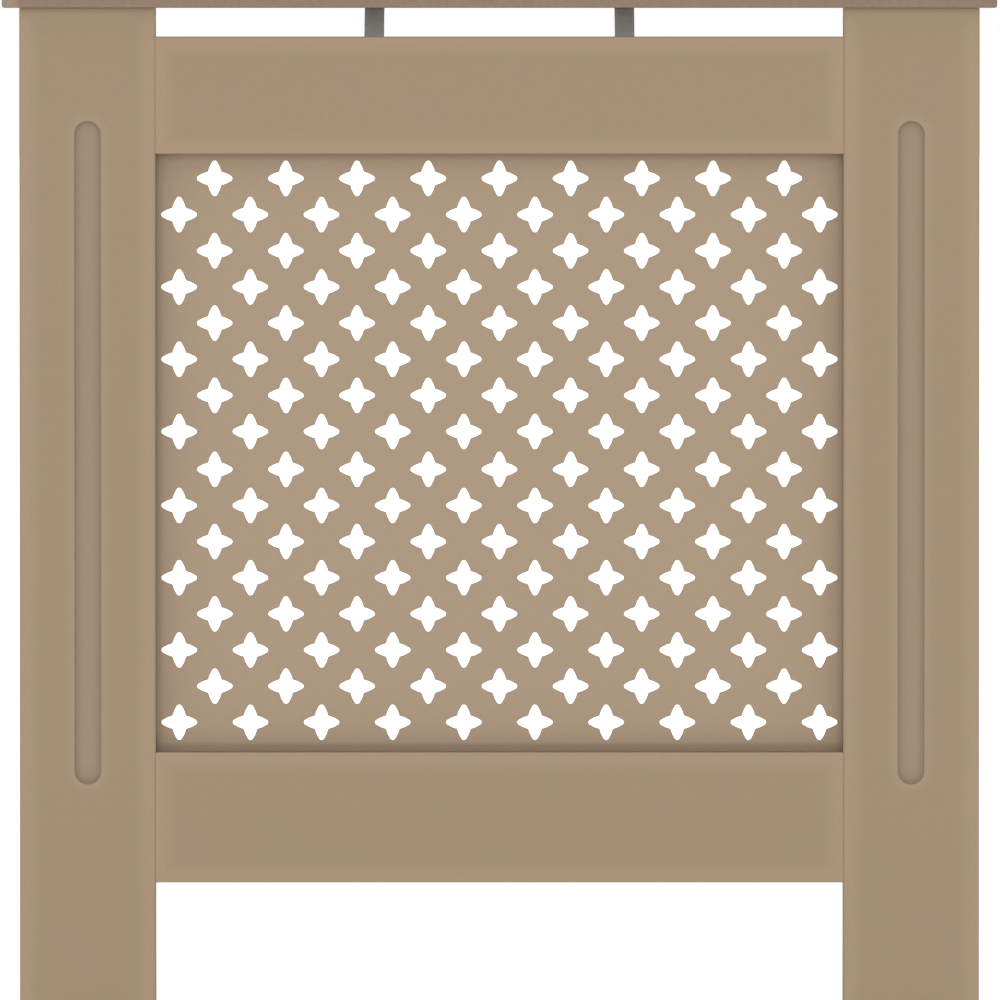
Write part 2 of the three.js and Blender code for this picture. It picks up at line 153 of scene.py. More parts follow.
def soft_light(name, energy, elevation, softness, turn=0):
    """A wide light from the front, this many degrees above the horizon and to the left of the middle."""
    data = bpy.data.lights.new(name, "SUN")
    data.energy = energy
    data.angle = math.radians(softness)
    light = bpy.data.objects.new(name, data)
    light.rotation_euler = (math.radians(90 - elevation), 0, -math.radians(turn))
    bpy.context.scene.collection.objects.link(light)


def set_light():
    """White surroundings, a soft light from the front and a softer one from overhead."""
    scene = bpy.context.scene
    scene.view_settings.view_transform = "Standard"
    world = bpy.data.worlds.new("studio")
    world.use_nodes = True
    world.node_tree.nodes["Background"].inputs["Color"].default_value = (1, 1, 1, 1)
    world.node_tree.nodes["Background"].inputs["Strength"].default_value = 1.0
    scene.world = world
    soft_light("front_light", energy=1.1, elevation=8, softness=36, turn=2)
    soft_light("overhead_light", energy=0.3, elevation=80, softness=120)


def lay_floor():
    """A white floor with faint clouds, a hair below the feet."""
    mesh = bpy.data.meshes.new("floor")
    corners = rectangle((-FLOOR_REACH, -FLOOR_REACH), (FLOOR_REACH, FLOOR_REACH))
    mesh.from_pydata([(x, y, -FLOOR_DROP) for x, y in corners], [], [(0, 1, 2, 3)])
    floor = bpy.data.objects.new("floor", mesh)
    bpy.context.scene.collection.objects.link(floor)
    material, tree, shader, place = new_material("floor_white", roughness=0.9, specular=0)
    cloud = noise(tree, place, scale=0.8)
    tree.links.new(blend(tree, cloud, (0.9, 0.9, 0.9), (0.93, 0.93, 0.93)), shader.inputs["Base Color"])
    shader.inputs["Emission Color"].default_value = (1, 1, 1, 1)
    shader.inputs["Emission Strength"].default_value = 0.35
    mesh.materials.append(material)


# ---------------------------------------------------------------- node helpers

def node(tree, kind, inputs=None, **settings):
    """A node with these settings; each input is a value or a socket to link."""
    made = tree.nodes.new(kind)
    for name, value in settings.items():
        setattr(made, name, value)
    for key, value in (inputs or {}).items():
        socket = made.inputs[key]
        if isinstance(value, bpy.types.NodeSocket):
            tree.links.new(value, socket)
        else:
            socket.default_value = value
    return made


def maths(tree, operation, *values):
    """One Math node."""
    return node(tree, "ShaderNodeMath", dict(enumerate(values)), operation=operation).outputs[0]


def triple(tree, x, y, z):
    """A vector from its three parts."""
    return node(tree, "ShaderNodeCombineXYZ", {0: x, 1: y, 2: z}).outputs[0]


def parts_of(tree, vector):
    """The three parts of a vector."""
    return node(tree, "ShaderNodeSeparateXYZ", {0: vector}).outputs


def spread(tree, value, low, high, to_low=0.0, to_high=1.0):
    """Spreads a value's range over another."""
    inputs = {"Value": value, "From Min": low, "From Max": high, "To Min": to_low, "To Max": to_high}
    return node(tree, "ShaderNodeMapRange", inputs).outputs["Result"]


def blend(tree, factor, first, second, kind="MIX"):
    """Mixes two colours; a plain triple is taken as a colour."""
    mix = tree.nodes.new("ShaderNodeMix")
    mix.data_type = "RGBA"
    mix.blend_type = kind
    sockets = {s.identifier: s for s in mix.inputs}
    for key, value in (("Factor_Float", factor), ("A_Color", first), ("B_Color", second)):
        if isinstance(value, bpy.types.NodeSocket):
            tree.links.new(value, sockets[key])
        else:
            sockets[key].default_value = (*value, 1) if isinstance(value, tuple) else value
    return next(s for s in mix.outputs if s.identifier == "Result_Color")


def attribute(tree, name):
    return node(tree, "ShaderNodeAttribute", attribute_name=name).outputs["Fac"]


def noise(tree, vector, scale, detail=2.0, roughness=0.5):
    inputs = {"Vector": vector, "Scale": scale, "Detail": detail, "Roughness": roughness}
    return node(tree, "ShaderNodeTexNoise", inputs).outputs["Fac"]


# ---------------------------------------------------------------- materials

def colour(red, green, blue):
    """A colour given as it looks on screen, 0 to 255."""
    def linear(value):
        share = value / 255
        return share / 12.92 if share <= 0.04045 else ((share + 0.055) / 1.055) ** 2.4
    return (linear(red), linear(green), linear(blue))


def new_material(name, roughness=None, specular=0.5, metallic=0.0):
    """A material with its constants on the shader's own sockets, its tree, its shader and its coordinates."""
    material = bpy.data.materials.new(name)
    material.use_nodes = True
    tree = material.node_tree
    shader = tree.nodes["Principled BSDF"]
    shader.inputs["Specular IOR Level"].default_value = specular
    shader.inputs["Metallic"].default_value = metallic
    if roughness is not None:
        shader.inputs["Roughness"].default_value = roughness
    return material, tree, shader, tree.nodes.new("ShaderNodeTexCoord").outputs["Object"]


def bump(tree, shader, height, strength, distance):
    inputs = {"Height": height, "Strength": strength, "Distance": distance}
    made = node(tree, "ShaderNodeBump", inputs)
    tree.links.new(made.outputs["Normal"], shader.inputs["Normal"])


def paint(tree, shader, tone, level):
    """Makes the tone, times this level, the base colour."""
    grey = triple(tree, level, level, level)
    tree.links.new(blend(tree, 1.0, tone, grey, "MULTIPLY"), shader.inputs["Base Color"])


def sway(tree, value, reach):
    """A noise as a shift of up to this much either way."""
    return spread(tree, value, *NOISE, -reach, reach)


NOISE = (0.3, 0.7)  # the range that most of a noise's values lie in

# Noises: scale, detail and roughness.
MOTTLE = (19, 2.5, 0.55)
FIBRE = (1300, 4.0, 0.7)
WISP = (260, 3.0, 0.6)
FLECK = (620, 1.0)
SPANGLE = (140, 3.0, 0.6)
ROLLING = (1800, 2.0)
PORES = (1.0, 4.0, 0.65)
PORE_STRETCH = (60, 700, 700)

# Ranges: where in the value each begins and ends, and what it gives there if that isn't 0 and 1.
ROSE_PATCHES = (0.54, 0.70, 0.0, 0.3)
OLIVE_PATCHES = (0.48, 0.34, 0.0, 0.35)
OLIVE_RIM = (0.05, 0.3)
PALE_RIM = (0.12, 0.65)
# Painted light: the sawn edge is painted paler near the corners that carry it.
PAINTED_LIGHT_END = (0.2, 0.5)
FIBRE_LEVEL = (0.25, 0.75, 0.93, 1.05)
FLECK_DEPTH = (0.70, 0.80, 0.0, 0.08)
SPANGLE_RANGE = (0.35, 0.65)

RIM_SWAY = 0.06
WISP_SWAY = 0.015
CUT_SWAY = 0.05
# Painted shade: how dark the pierced panel is painted at its foot and at its sides, beside the frame.
PAINTED_SHADE_AT_FOOT = 0.83
PAINTED_SHADE_AT_SIDES = 0.93
MDF_ROUGHNESS = (0.72, 0.86)
ROLLING_LEVEL = (0.94, 1.05)
# Painted light on the straps: how their level climbs towards the top, under the board.
PAINTED_LIGHT_POWER = 2.0
PAINTED_LIGHT_GAIN = 0.88
PAINTED_LIGHT_START = 0.77
BEECH_ROUGHNESS = (0.5, 0.62)


def mdf(name, face, olive, rose, pale, sawn, sawn_painted_light, milled, painted_shade_heights=None, painted_shade_sides=None):
    """Raw fibreboard: faint mottling, a paler rim, darker sawn edges, fine fibres and a few flecks.

    Between two heights, and between two distances from the middle, it may be darkened: painted shade where the
    frame in front of it shades it.
    """
    material, tree, shader, place = new_material(name, specular=0.18)
    mottle = noise(tree, place, *MOTTLE)
    tone = blend(tree, spread(tree, mottle, *ROSE_PATCHES), face, rose)
    tone = blend(tree, spread(tree, mottle, *OLIVE_PATCHES), tone, olive)
    rim = maths(tree, "ADD", attribute(tree, "rim"), sway(tree, mottle, RIM_SWAY))
    tone = blend(tree, spread(tree, rim, *OLIVE_RIM), tone, olive)
    tone = blend(tree, spread(tree, rim, *PALE_RIM), tone, pale)
    # Painted light: sawn edges paler near their corners; the top board has it only at its left end, where the
    # light falls from the left.
    edge = blend(tree, spread(tree, attribute(tree, "end"), *PAINTED_LIGHT_END), sawn, sawn_painted_light)
    tone = blend(tree, attribute(tree, "cut"), tone, edge)
    tone = blend(tree, attribute(tree, "milled"), tone, milled)
    fibre = noise(tree, place, *FIBRE)
    wisp = noise(tree, place, *WISP)
    fleck = spread(tree, noise(tree, place, *FLECK), *FLECK_DEPTH)
    grain = maths(tree, "ADD", spread(tree, fibre, *FIBRE_LEVEL), sway(tree, wisp, WISP_SWAY))
    fuzz = maths(tree, "MULTIPLY", attribute(tree, "cut"), sway(tree, wisp, CUT_SWAY))
    grain = maths(tree, "ADD", maths(tree, "SUBTRACT", grain, fleck), fuzz)
    # Painted shade at the panel's foot and sides, where the frame in front of it shades it.
    if painted_shade_heights is not None:
        x, _, height = parts_of(tree, place)
        aside = maths(tree, "ABSOLUTE", x)
        grain = maths(tree, "MULTIPLY", grain, spread(tree, height, *painted_shade_heights, PAINTED_SHADE_AT_FOOT, 1.0))
        grain = maths(tree, "MULTIPLY", grain, spread(tree, aside, *painted_shade_sides, 1.0, PAINTED_SHADE_AT_SIDES))
    paint(tree, shader, tone, grain)
    tree.links.new(spread(tree, wisp, *NOISE, *MDF_ROUGHNESS), shader.inputs["Roughness"])
    bump(tree, shader, fibre, strength=0.25, distance=0.12 * MM)
    return material


def steel(name, dark, light, roughness, metallic, painted_light_heights=None):
    """Plain sheet steel: cloudy spangle and fine rolling lines.

    Between two heights it is painted lighter towards the top: painted light against the shade under the board.
    """
    material, tree, shader, place = new_material(name, specular=0.4, metallic=metallic)
    cloud = noise(tree, place, *SPANGLE)
    fine = noise(tree, place, *ROLLING)
    tone = blend(tree, spread(tree, cloud, *SPANGLE_RANGE), dark, light)
    level = spread(tree, fine, *NOISE, *ROLLING_LEVEL)
    if painted_light_heights is not None:
        # Painted light: the strap turns lighter towards its top, where the board above shades it.
        _, _, height = parts_of(tree, place)
        painted_lift = maths(tree, "POWER", spread(tree, height, *painted_light_heights), PAINTED_LIGHT_POWER)
        painted_lift = maths(tree, "MULTIPLY_ADD", painted_lift, PAINTED_LIGHT_GAIN, PAINTED_LIGHT_START)
        level = maths(tree, "MULTIPLY", level, painted_lift)
    paint(tree, shader, tone, level)
    rough = spread(tree, cloud, *NOISE, roughness - 0.06, roughness + 0.08)
    tree.links.new(rough, shader.inputs["Roughness"])
    bump(tree, shader, fine, strength=0.12, distance=0.05 * MM)
    return material


def beech(name):
    """Pale dowel wood with fine darker pores."""
    material, tree, shader, place = new_material(name, specular=0.3)
    stretched = node(tree, "ShaderNodeMapping", {"Vector": place, "Scale": PORE_STRETCH}).outputs[0]
    pores = noise(tree, stretched, *PORES)
    tone = blend(tree, spread(tree, pores, *NOISE), colour(176, 137, 98), colour(208, 174, 134))
    tree.links.new(tone, shader.inputs["Base Color"])
    tree.links.new(spread(tree, pores, *NOISE, *BEECH_ROUGHNESS), shader.inputs["Roughness"])
    bump(tree, shader, pores, strength=0.2, distance=0.1 * MM)
    return material


FACE_MDF = mdf("raw_mdf", face=colour(137.5, 118.6, 97), olive=colour(136.4, 118.8, 97.2),
               rose=colour(137.2, 117.8, 99.3), pale=colour(142.6, 123.8, 102.1),
               sawn=colour(122.5, 104.3, 88), sawn_painted_light=colour(134.5, 116.5, 101),
               milled=colour(140.9, 122.1, 103.0))
# The pierced panel's foot and sides are painted darker, a painted shade from the frame.
PIERCED_MDF = mdf("pierced_mdf", face=colour(145, 126.7, 106.3), olive=colour(144, 126.9, 106),
                  rose=colour(144.6, 125.6, 107.4), pale=colour(145, 126.7, 106.3),
                  sawn=colour(134, 115, 96), sawn_painted_light=colour(134, 115, 96),
                  milled=colour(145, 126.7, 106.3), painted_shade_heights=(0.2205, 0.2235), painted_shade_sides=(0.262, 0.2695))
BATTEN_MDF = mdf("batten_mdf", face=colour(134, 115, 93), olive=colour(133, 115.3, 93.3),
                 rose=colour(133.5, 113.8, 95), pale=colour(138, 119, 98), sawn=colour(123, 103, 85),
                 sawn_painted_light=colour(126, 107, 90), milled=colour(134, 115, 93))
# The straps are painted lighter near their top, a painted light.
GREY_STEEL = steel("grey_steel", dark=(0.42, 0.438, 0.437), light=(0.478, 0.498, 0.497), roughness=0.5,
                   metallic=0.0, painted_light_heights=(0.778, 0.798))
ZINC = steel("zinc_plate", dark=(0.42, 0.42, 0.41), light=(0.52, 0.52, 0.50), roughness=0.36, metallic=0.85)
BEECH = beech("beech")


# ---------------------------------------------------------------- making and placing meshes

def facing_front(back):
    """Outline in X and Z, thickness towards the front from the plane y = back."""
    return Matrix(((1, 0, 0, 0), (0, 0, -1, back), (0, 1, 0, 0), (0, 0, 0, 1)))


def facing_side(inner, side):
    """Outline in Y and Z, thickness outwards from the plane x = inner."""
    return Matrix(((0, 0, side, inner), (1, 0, 0, 0), (0, 1, 0, 0), (0, 0, 0, 1)))


def facing_up(underside):
    return Matrix.Translation((0, 0, underside))


def new_piece(name, mesh, material, smooth_below=32):
    """Turns a mesh into a piece with outward faces, smooth roundings and crisp flats."""
    build = bmesh.new()
    build.from_mesh(mesh)
    bmesh.ops.remove_doubles(build, verts=build.verts, dist=WELD)
    bmesh.ops.recalc_face_normals(build, faces=build.faces)
    limit = math.radians(smooth_below)
    for face in build.faces:
        face.smooth = True
    for edge in build.edges:
        edge.smooth = len(edge.link_faces) == 2 and edge.calc_face_angle(0) < limit
    build.to_mesh(mesh)
    build.free()
    mesh.materials.clear()
    mesh.materials.append(material)
    piece = bpy.data.objects.new(name, mesh)
    bpy.context.scene.collection.objects.link(piece)
    return piece


def dress(piece, slot, *nodes):
    """Rides the piece on the cabinet, in the place of these CAD nodes."""
    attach(piece, "root")
    if nodes:
        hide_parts(*nodes)
    return piece


def rectangle(low, high):
    return [Vector(p) for p in ((low[0], low[1]), (high[0], low[1]), (high[0], high[1]), (low[0], high[1]))]


def outline_row(outline, inset, ease, rim, eased, painted_light_corners, front):
    """The outline moved inwards, as (point, nearness to a corner with painted light, share of the row's depth).

    Every row has the same count of points: outside corners are rounded by the ease, with points on both sides
    where the painted light at a corner stops. The sides numbered in eased have their own shares of the ease and
    their own lean.
    """
    row = []
    count = len(outline)
    for index, corner in enumerate(outline):
        before = (corner - outline[index - 1]).normalized()
        after = (outline[(index + 1) % count] - corner).normalized()
        in_before = Vector((-before.y, before.x))
        in_after = Vector((-after.y, after.x))
        if before.cross(after) < 0:
            row.append((corner + (in_before + in_after) * inset, 0, 1))
            continue
        shares = [eased.get(side % count, FULL_EASE) for side in (index - 1, index)]
        depths = [(inset * across if inset <= ease + HOLD else inset) + lean * front
                  for across, _, lean in shares]
        downs = [down for _, down, _ in shares]
        near = float(painted_light_corners is None or index in painted_light_corners)
        stops = [(max(reach, *depths), value) for reach, value in ((ease + HOLD, near), (rim, 0))]
        for setback, value in reversed(stops):
            row.append((corner - before * setback + in_before * depths[0], value, downs[0]))
        centre = [max(ease, depth) for depth in depths]
        for step in range(EASE_STEPS + 1):
            turn = math.pi / 2 * step / EASE_STEPS
            across = in_before * (centre[0] - (centre[0] - depths[0]) * math.cos(turn))
            along = in_after * (centre[1] - (centre[1] - depths[1]) * math.sin(turn))
            down = downs[0] + (downs[1] - downs[0]) * step / EASE_STEPS
            row.append((corner + across + along, near, down))
        for setback, value in stops:
            row.append((corner + after * setback + in_after * depths[1], value, downs[1]))
    return row


def quarter_round(radius):
    """The points of a rounding, as (distance from the edge, distance from the face)."""
    turns = [math.pi / 2 * step / EASE_STEPS for step in range(EASE_STEPS + 1)]
    return [(radius * (1 - math.sin(turn)), radius * (1 - math.cos(turn))) for turn in turns]


def flute_row(centre, grow):
    """The flute's outline, grown or shrunk, with an extra point near each end of its straight sides."""
    radius = FLUTE_WIDTH / 2 + grow
    top, foot = FLUTE_HEAD - FLUTE_WIDTH / 2, FLUTE_FOOT + FLUTE_WIDTH / 2
    row = []
    for level, start, side in ((top, 0, 1), (foot, math.pi, -1)):
        row.append(Vector((centre + side * radius, level - side * FLUTE_HOLD)))
        for step in range(FLUTE_STEPS + 1):
            turn = start + math.pi * step / FLUTE_STEPS
            row.append(Vector((centre + radius * math.cos(turn), level + radius * math.sin(turn))))
        row.append(Vector((centre - side * radius, level - side * FLUTE_HOLD)))
    return [(point, 0, 1) for point in row]


def join_rows(build, lower, upper, layer, value):
    """Faces between two rows of vertices, with this value in the layer."""
    count = len(lower)
    for index in range(count):
        after = (index + 1) % count
        face = build.faces.new((lower[index], lower[after], upper[after], upper[index]))
        face[layer] = value


def board(name, outline, thickness, placing, material, ease, rim=RIM, flute=None, eased=None,
          arris_cut=ARRIS_CUT, painted_light_corners=None):
    """A board with rounded edges and perhaps a flute.

    Its faces carry "rim", which is 1 at their edges. Its corners with painted light carry "end", which paints
    their sawn edges paler; its sawn edges carry "cut" and its flute "milled".
    """
    build = bmesh.new()
    rim_value = build.verts.layers.float.new("rim")
    painted_light_layer = build.verts.layers.float.new("end")
    cut = build.faces.layers.float.new("cut")
    milled = build.faces.layers.float.new("milled")

    def add_row(points, depth, value, front):
        """A row of vertices this deep below the front or the back face."""
        row = []
        for point, end, share in points:
            level = depth * share
            vertex = build.verts.new((*point, thickness - level if front else level))
            vertex[rim_value] = value
            vertex[painted_light_layer] = end
            row.append(vertex)
        return row

    bend = [(*point, 1) for point in quarter_round(ease)]
    half = [(rim, 0, 0), (ease + HOLD, 0, 1), *bend, (0, ease + HOLD, 1)]
    profile = [(*step, False) for step in half] + [(*step, True) for step in reversed(half)]
    rows = []
    for inset, depth, value, front in profile:
        points = outline_row(outline, inset, ease, rim, eased or {}, painted_light_corners, front)
        rows.append(add_row(points, depth, value, front))
    for (inset, *_), (next_inset, *_), lower, upper in zip(profile, profile[1:], rows, rows[1:]):
        on_arris = 0 < inset + next_inset < 2 * ease
        join_rows(build, lower, upper, cut, arris_cut if on_arris else float(inset + next_inset == 0))
    build.faces.new(rows[0])
    bmesh.ops.remove_doubles(build, verts=build.verts, dist=WELD)
    if flute is None:
        build.verts.index_update()
        bmesh.ops.holes_fill(build, edges=[e for e in build.edges if e.is_boundary], sides=0)
    else:
        sink_flute(build, add_row, flute, milled)
    mesh = bpy.data.meshes.new(name)
    bmesh.ops.transform(build, matrix=placing, verts=build.verts)
    build.to_mesh(mesh)
    build.free()
    return new_piece(name, mesh, material)


def sink_flute(build, add_row, centre, milled):
    """Closes the open front face round a flute with a softened arris and a rounded floor corner."""
    lip = [(FLUTE_ARRIS + FLUTE_RIM, 0, 0), (FLUTE_ARRIS + HOLD, 0, FLUTE_LIP)]
    arris = [(*point, FLUTE_LIP) for point in quarter_round(FLUTE_ARRIS)]
    floor = [(-down, FLUTE_DEPTH - across, 0) for across, down in quarter_round(FLUTE_FLOOR_ROUND)]
    inner = [(-FLUTE_FLOOR_ROUND - HOLD, FLUTE_DEPTH, 0)]
    profile = lip + arris + floor + inner
    rows = [add_row(flute_row(centre, grow), depth, value, True) for grow, depth, value in profile]
    for (_, depth, _), lower, upper in zip(profile[1:], rows, rows[1:]):
        join_rows(build, lower, upper, milled, float(depth > 0))
    face = build.faces.new(rows[-1])
    face[milled] = 1.0
    open_edges = [edge for edge in build.edges if edge.is_boundary]
    bmesh.ops.triangle_fill(build, edges=open_edges, use_beauty=True)


# ---------------------------------------------------------------- boards

def flat_limits(name, first, second):
    """Lowest and highest corner of a CAD node, seen along the axis that is left out."""
    low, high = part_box(name)
    return (low[first], low[second]), (high[first], high[second])


def make_frame_boards():
    """The stiles and rails. Side 0 of an outline is its foot, 1 its right, 2 its top and 3 its left."""
    for name in ("left_stile", "right_stile", "top_rail", "bottom_rail"):
        low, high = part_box(name)
        flute = (low.x + high.x) / 2 if name.endswith("stile") else None
        if name.endswith("rail"):
            eased = {1: RAIL_END_EASE, 3: RAIL_END_EASE}
            outline = rectangle((low.x - SEAT, low.z), (high.x + SEAT, high.z))
        else:
            eased = {1 if name.startswith("left") else 3: STILE_INNER_EASE, 2: STILE_TOP_EASE}
            outline = rectangle((low.x, low.z), (high.x, high.z + SEAT))
        piece = board(name + "_board", outline, high.y - low.y, facing_front(high.y), FACE_MDF, FRAME_EASE,
                      flute=flute, eased=eased)
        dress(piece, "raw_mdf", name)


def make_side_panels():
    for side, name in ((-1, "left_side_panel"), (1, "right_side_panel")):
        low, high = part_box(name)
        notch = Vector((high.y - SKIRTING_DEPTH, low.z + SKIRTING_HEIGHT))
        foot = Vector((notch.x, low.z))
        outline = [Vector((low.y, low.z)), foot, notch, Vector((high.y, notch.y)),
                   Vector((high.y, high.z)), Vector((low.y, high.z))]
        inner = low.x if side > 0 else high.x
        piece = board(name + "_board", outline, high.x - low.x, facing_side(inner, side), FACE_MDF, PANEL_EASE)
        dress(piece, "raw_mdf", name)


def make_top_board():
    low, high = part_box("top_board")
    outline = rectangle(*flat_limits("top_board", 0, 1))
    piece = board("top_board_eased", outline, high.z - low.z, facing_up(low.z), FACE_MDF, BOARD_EASE,
                  # Painted light: only the left end, corners 0 and 3, is painted paler, as the light falls from
                  # the left.
                  arris_cut=BOARD_ARRIS_CUT, painted_light_corners=(0, 3))
    dress(piece, "raw_mdf", "top_board")


def make_battens():
    for place in ("top", "bottom", "left", "right"):
        name = "grille_batten_" + place
        low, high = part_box(name)
        outline = rectangle(*flat_limits(name, 0, 2))
        piece = board("batten_" + place, outline, high.y - low.y, facing_front(high.y), BATTEN_MDF,
                      PANEL_EASE, rim=BATTEN_RIM)
        dress(piece, "batten_mdf", name)


# ---------------------------------------------------------------- geometry node helpers

def new_tree(name, sizes):
    """A geometry tree with its named inputs; returns it, its input sockets by name, and the group's output."""
    tree = bpy.data.node_groups.new(name, "GeometryNodeTree")
    face = tree.interface
    face.new_socket("Geometry", in_out="INPUT", socket_type="NodeSocketGeometry")
    face.new_socket("Geometry", in_out="OUTPUT", socket_type="NodeSocketGeometry")
    for label, kind in sizes.items():
        face.new_socket(label, in_out="INPUT", socket_type=kind)
    entry = tree.nodes.new("NodeGroupInput")
    return tree, {s.name: s for s in entry.outputs}, tree.nodes.new("NodeGroupOutput")


def close_tree(tree, leave, geometry, material):
    """Realizes the instances, sets the material and ends the tree."""
    real = node(tree, "GeometryNodeRealizeInstances", {"Geometry": geometry}).outputs[0]
    dressed = node(tree, "GeometryNodeSetMaterial", {"Geometry": real, "Material": material}).outputs[0]
    tree.links.new(dressed, leave.inputs["Geometry"])


def run_tree(tree, source, values):
    """Runs the tree on a mesh with these named values and returns the plain mesh that it makes."""
    carrier = bpy.data.objects.new("carrier", source)
    bpy.context.scene.collection.objects.link(carrier)
    modifier = carrier.modifiers.new("nodes", "NODES")
    modifier.node_group = tree
    for item in tree.interface.items_tree:
        if item.item_type == "SOCKET" and item.in_out == "INPUT" and item.name in values:
            modifier[item.identifier] = values[item.name]
    graph = bpy.context.evaluated_depsgraph_get()
    mesh = bpy.data.meshes.new_from_object(carrier.evaluated_get(graph))
    bpy.data.objects.remove(carrier)
    return mesh


def join_geometry(tree, *parts):
    made = tree.nodes.new("GeometryNodeJoinGeometry")
    for part in parts:
        tree.links.new(part, made.inputs[0])
    return made.outputs[0]


# ---------------------------------------------------------------- pierced panel

def cross_outline(grow):
    """One hole's outline: four arms with round tips and hollow flanks, grown by an even margin."""
    tip = Vector((HOLE_REACH - TIP_RADIUS, 0))
    corner = Vector((WAIST_CORNER, WAIST_CORNER))
    to_tip = tip - corner
    distance = to_tip.length
    reach = FLANK_RADIUS - TIP_RADIUS
    along = (reach ** 2 - FLANK_RADIUS ** 2 + distance ** 2) / (2 * distance)
    aside = math.sqrt(reach ** 2 - along ** 2)
    toward = -to_tip.normalized()
    centre = tip + toward * along + Vector((-toward.y, toward.x)) * aside
    tangent = math.atan2(tip.y - centre.y, tip.x - centre.x)
    flank = FLANK_RADIUS + grow
    waist = math.acos((centre.y - centre.x) / (math.sqrt(2) * flank)) - math.pi / 4
    arm = []
    for step in range(TIP_STEPS + 1):
        turn = tangent * (2 * step / TIP_STEPS - 1)
        arm.append(tip + Vector((math.cos(turn), math.sin(turn))) * (TIP_RADIUS + grow))
    for step in range(1, FLANK_STEPS + 1):
        turn = tangent + (waist - tangent) * step / FLANK_STEPS
        point = centre + Vector((math.cos(turn), math.sin(turn))) * flank
        arm.append(point)
        if step < FLANK_STEPS:
            arm.insert(0, Vector((point.x, -point.y)))
    return [Matrix.Rotation(quarter * math.pi / 2, 2) @ point for quarter in range(4) for point in arm]


def hole_wall(thickness):
    """The wall of one hole with softened edges, as the tree's source."""
    build = bmesh.new()
    cut = build.faces.layers.float.new("cut")
    rows = []
    for grow, height in ((HOLE_EASE, 0), (0, HOLE_EASE), (0, thickness - HOLE_EASE), (HOLE_EASE, thickness)):
        rows.append([build.verts.new((*point, height)) for point in cross_outline(grow)])
    for lower, upper in zip(rows, rows[1:]):
        join_rows(build, lower, upper, cut, 1.0)
    mesh = bpy.data.meshes.new("hole_wall")
    build.to_mesh(mesh)
    build.free()
    return mesh


def piercing_tree():
    """Sets holes out in staggered rows, fills both faces round them and closes the sheet's rim."""
    sizes = {name: "NodeSocketFloat" for name in
             ("Width", "Height", "Thickness", "Hole pitch", "Row pitch", "Middle step", "Rise")}
    sizes |= {"Rows": "NodeSocketInt", "Holes in a long row": "NodeSocketInt", "Material": "NodeSocketMaterial"}
    tree, size, leave = new_tree("piercing", sizes)
    index = tree.nodes.new("GeometryNodeInputIndex").outputs[0]
    count = maths(tree, "MULTIPLY", size["Rows"], size["Holes in a long row"])
    column = maths(tree, "MODULO", index, size["Holes in a long row"])
    row = maths(tree, "FLOOR", maths(tree, "DIVIDE", index, size["Holes in a long row"]))
    short = maths(tree, "MODULO", row, 2.0)
    last = maths(tree, "SUBTRACT", size["Holes in a long row"], 1.0)
    shift = maths(tree, "MULTIPLY", maths(tree, "SUBTRACT", short, last), 0.5)
    across = maths(tree, "MULTIPLY", maths(tree, "ADD", column, shift), size["Hole pitch"])
    middle = maths(tree, "MULTIPLY", maths(tree, "SUBTRACT", size["Rows"], 1.0), 0.5)
    level = maths(tree, "SUBTRACT", row, middle)
    spare = maths(tree, "MULTIPLY", maths(tree, "SUBTRACT", size["Middle step"], size["Row pitch"]), 0.5)
    lift = maths(tree, "MULTIPLY", maths(tree, "SIGN", level), spare)
    up = maths(tree, "ADD", maths(tree, "MULTIPLY", level, size["Row pitch"]), lift)
    spot = triple(tree, across, up, 0.0)
    points = node(tree, "GeometryNodePoints", {"Count": count, "Position": spot}).outputs[0]
    at_end = maths(tree, "COMPARE", column, last, 0.1)  # the same to within a tenth
    beyond = maths(tree, "MULTIPLY", short, at_end)
    kept = node(tree, "GeometryNodeDeleteGeometry", {"Geometry": points, "Selection": beyond}).outputs[0]
    placed = node(tree, "GeometryNodeInstanceOnPoints",
                  {"Points": kept, "Instance": size["Geometry"]}).outputs[0]
    walls = node(tree, "GeometryNodeRealizeInstances", {"Geometry": placed}).outputs[0]

    _, _, height = parts_of(tree, tree.nodes.new("GeometryNodeInputPosition").outputs[0])
    lip = maths(tree, "SUBTRACT", size["Thickness"], PIERCING_WELD)
    at_front = maths(tree, "GREATER_THAN", height, lip)
    loops = node(tree, "GeometryNodeMeshToCurve", {"Mesh": walls, "Selection": at_front}).outputs[0]
    sheet = node(tree, "GeometryNodeCurvePrimitiveQuadrilateral",
                 {"Width": size["Width"], "Height": size["Height"]}).outputs[0]
    drop = maths(tree, "MULTIPLY", size["Rise"], -1.0)
    lowered = triple(tree, 0.0, drop, 0.0)
    sheet = node(tree, "GeometryNodeTransform", {"Geometry": sheet, "Translation": lowered}).outputs[0]
    outline = join_geometry(tree, loops, sheet)
    back = node(tree, "GeometryNodeFillCurve", {"Curve": outline}, mode="TRIANGLES").outputs[0]
    forward = triple(tree, 0.0, 0.0, size["Thickness"])
    front = node(tree, "GeometryNodeTransform", {"Geometry": back, "Translation": forward}).outputs[0]
    edge = node(tree, "GeometryNodeCurveToMesh", {"Curve": sheet}).outputs[0]
    rim = node(tree, "GeometryNodeExtrudeMesh", {"Mesh": edge, "Offset": forward}, mode="EDGES").outputs[0]
    whole = join_geometry(tree, walls, front, back, rim)
    merged = node(tree, "GeometryNodeMergeByDistance",
                  {"Geometry": whole, "Distance": PIERCING_WELD}).outputs[0]
    close_tree(tree, leave, merged, size["Material"])
    return tree


